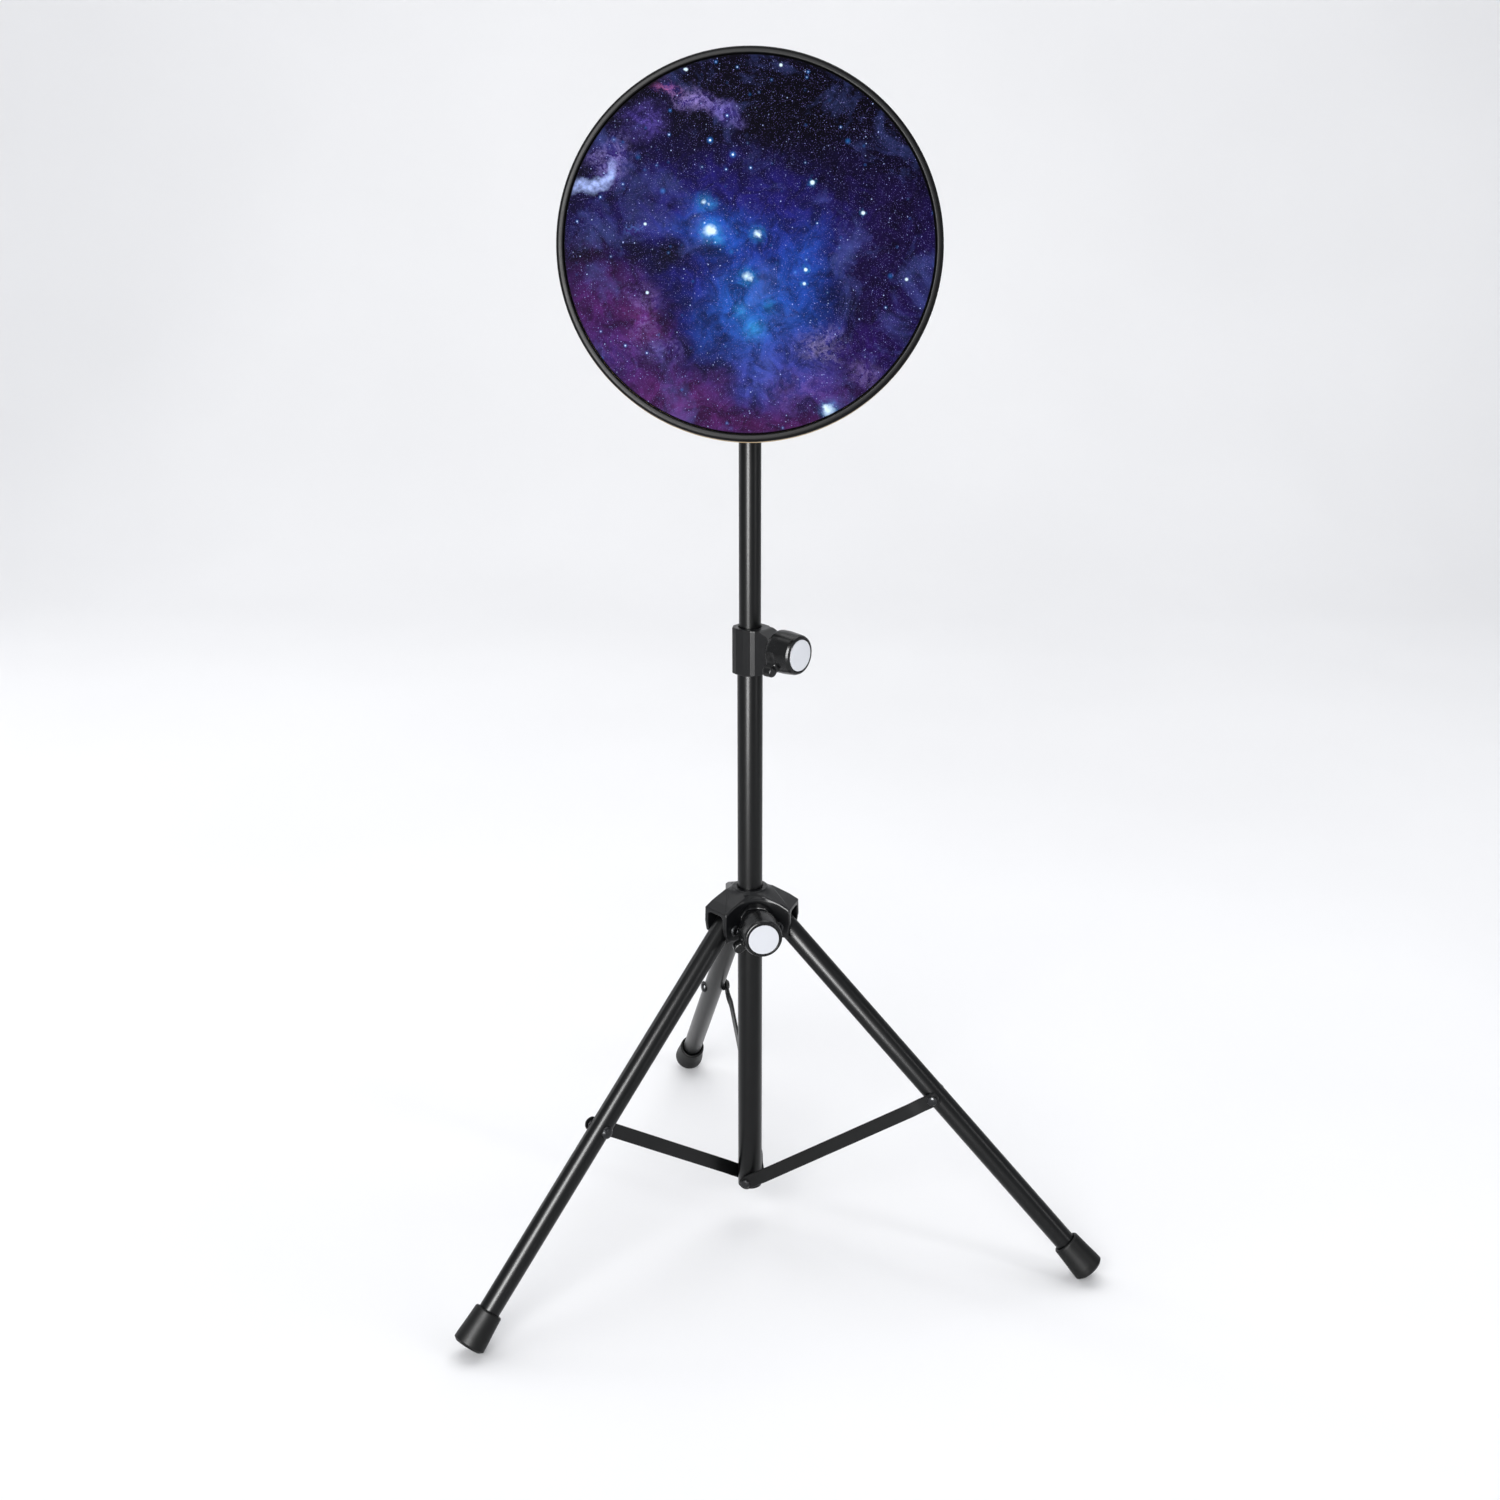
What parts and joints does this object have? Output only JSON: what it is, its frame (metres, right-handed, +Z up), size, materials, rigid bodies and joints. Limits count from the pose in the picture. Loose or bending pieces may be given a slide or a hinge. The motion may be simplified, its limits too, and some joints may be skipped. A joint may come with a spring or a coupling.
{
  "type": "practice pad on folding stand",
  "caption": "Round drum practice pad with a printed rubber face, screwed to a tilter on a height-adjustable folding tripod stand.",
  "frame": {"origin": "bottom centre of the whole object's box, on the floor", "axes": "+Z up along the column, -Y towards the side the pad's face is tilted to"},
  "size_m": [0.5707, 0.5561, 1.0574],
  "materials": {
    "powder_coat": "gloss black powder coat",
    "black_bracket": "satin black paint",
    "black_plastic": "satin moulded black",
    "knob_disc": "pale printed disc",
    "foot_rubber": "matte moulded rubber",
    "rim_rubber": "matte black rubber",
    "printed_rubber": "matte rubber with a printed night-sky pattern",
    "base_board": "raw fibreboard edge",
    "non_slip": "textured non-slip rubber",
    "plated_steel": "zinc-plated steel",
    "dark_nut": "grey oxide steel",
    "dark_rivet": "blackened steel"
  },
  "bodies": {
    "column": {"lower_tube": "powder_coat", "bottom_plug": "black_plastic", "clamp_collar": "black_plastic", "clamp_shoe": "plated_steel", "column_rivet_right": "dark_rivet", "column_rivet_left": "dark_rivet", "column_rivet_back": "dark_rivet"},
    "hub": {"hub": "black_plastic", "hub_pin_right": "dark_rivet", "hub_pin_left": "dark_rivet", "hub_pin_back": "dark_rivet"},
    "leg_right": {"leg_tube_right": "powder_coat", "foot_right": "foot_rubber", "leg_rivet_right": "dark_rivet"},
    "leg_left": {"leg_tube_left": "powder_coat", "foot_left": "foot_rubber", "leg_rivet_left": "dark_rivet"},
    "leg_back": {"leg_tube_back": "powder_coat", "foot_back": "foot_rubber", "leg_rivet_back": "dark_rivet"},
    "strut_right": {"strut_right": "powder_coat", "strut_rivet_right": "dark_rivet"},
    "strut_left": {"strut_left": "powder_coat", "strut_rivet_left": "dark_rivet"},
    "strut_back": {"strut_back": "powder_coat", "strut_rivet_back": "dark_rivet"},
    "guide": {"guide_bush": "black_plastic"},
    "mast": {"upper_tube": "powder_coat", "mast_head": "black_bracket", "tilt_clamp_bolt": "plated_steel", "tilt_clamp_washer": "dark_rivet"},
    "tilter": {"tilt_bracket": "black_bracket", "pivot_screw": "dark_rivet", "pivot_nut": "dark_rivet", "threaded_rod": "plated_steel", "base_washer": "black_bracket", "spring_washer": "dark_nut", "hex_nut": "dark_nut"},
    "lock_nut": {"wing_lock_nut": "dark_nut"},
    "pad": {"playing_surface": "printed_rubber", "rim_ring": "rim_rubber", "base_board": "base_board", "non_slip_base": "non_slip", "threaded_insert": "plated_steel"},
    "tilt_knob": {"tilt_knob": "black_plastic", "tilt_knob_disc": "knob_disc"},
    "height_knob": {"height_knob": "black_plastic", "height_knob_disc": "knob_disc", "height_knob_screw": "plated_steel"},
    "hub_knob": {"hub_knob": "black_plastic", "hub_knob_disc": "knob_disc", "hub_knob_screw": "plated_steel"}
  },
  "joints": [
    {"name": "hub_slide", "type": "slide", "parent": "column", "child": "hub", "axis": [0, 0, 1], "range_m": [0, 0.15031]},
    {"name": "leg_right_fold", "type": "hinge", "parent": "hub", "child": "leg_right", "pos_m": [-0.00294, -0.05863, 0.314], "axis": [0.309, 0.9511, 0], "range_deg": [0, 43.94]},
    {"name": "leg_left_fold", "type": "hinge", "parent": "hub", "child": "leg_left", "pos_m": [-0.05631, -0.06998, 0.314], "axis": [0.6691, -0.7431, 0], "range_deg": [0, 43.94]},
    {"name": "leg_back_fold", "type": "hinge", "parent": "hub", "child": "leg_back", "pos_m": [-0.03945, -0.01809, 0.314], "axis": [-0.9781, -0.2079, 0], "range_deg": [0, 43.94]},
    {"name": "strut_right_fold", "type": "hinge", "parent": "column", "child": "strut_right", "pos_m": [-0.03679, -0.06088, 0.047], "axis": [-0.309, -0.9511, 0], "range_deg": [0, 48]},
    {"name": "strut_left_fold", "type": "hinge", "parent": "column", "child": "strut_left", "pos_m": [-0.04133, -0.03954, 0.047], "axis": [-0.6691, 0.7431, 0], "range_deg": [0, 48]},
    {"name": "strut_back_fold", "type": "hinge", "parent": "column", "child": "strut_back", "pos_m": [-0.02057, -0.04628, 0.047], "axis": [0.9781, 0.2079, 0], "range_deg": [0, 48]},
    {"name": "height_slide", "type": "slide", "parent": "column", "child": "guide", "axis": [0, 0, 1], "range_m": [-0.22, 0.1]},
    {"name": "mast_swivel", "type": "hinge", "parent": "guide", "child": "mast", "pos_m": [-0.0329, -0.0489, 0.7], "axis": [0, 0, 1], "continuous": true},
    {"name": "tilt", "type": "hinge", "parent": "mast", "child": "tilter", "pos_m": [-0.0329, -0.0489, 0.897], "axis": [1, 0, 0], "range_deg": [-78, 5]},
    {"name": "pad_lift", "type": "slide", "parent": "tilter", "child": "pad", "axis": [0, -0.9781, 0.2079], "range_m": [0, 0.03]},
    {"name": "lock_nut_turn", "type": "hinge", "parent": "tilter", "child": "lock_nut", "pos_m": [-0.0329, -0.08118, 0.90386], "axis": [0, -0.9781, 0.2079], "continuous": true},
    {"name": "tilt_knob_turn", "type": "hinge", "parent": "mast", "child": "tilt_knob", "pos_m": [-0.0129, -0.0489, 0.86], "axis": [1, 0, 0], "range_deg": [0, 720]},
    {"name": "height_knob_turn", "type": "hinge", "parent": "column", "child": "height_knob", "pos_m": [-0.00226, -0.07461, 0.569], "axis": [0.766, -0.6428, 0], "range_deg": [0, 720]},
    {"name": "hub_knob_turn", "type": "hinge", "parent": "hub", "child": "hub_knob", "pos_m": [-0.02458, -0.08803, 0.316], "axis": [0.2079, -0.9781, 0], "range_deg": [0, 720]}
  ],
  "couplings": [
    {"joint": "leg_right_fold", "follows": "hub_slide", "rad_per_m": 5.0905},
    {"joint": "leg_left_fold", "follows": "hub_slide", "rad_per_m": 5.0905},
    {"joint": "leg_back_fold", "follows": "hub_slide", "rad_per_m": 5.0905},
    {"joint": "strut_right_fold", "follows": "hub_slide", "rad_per_m": 5.5624},
    {"joint": "strut_left_fold", "follows": "hub_slide", "rad_per_m": 5.5624},
    {"joint": "strut_back_fold", "follows": "hub_slide", "rad_per_m": 5.5624}
  ]
}
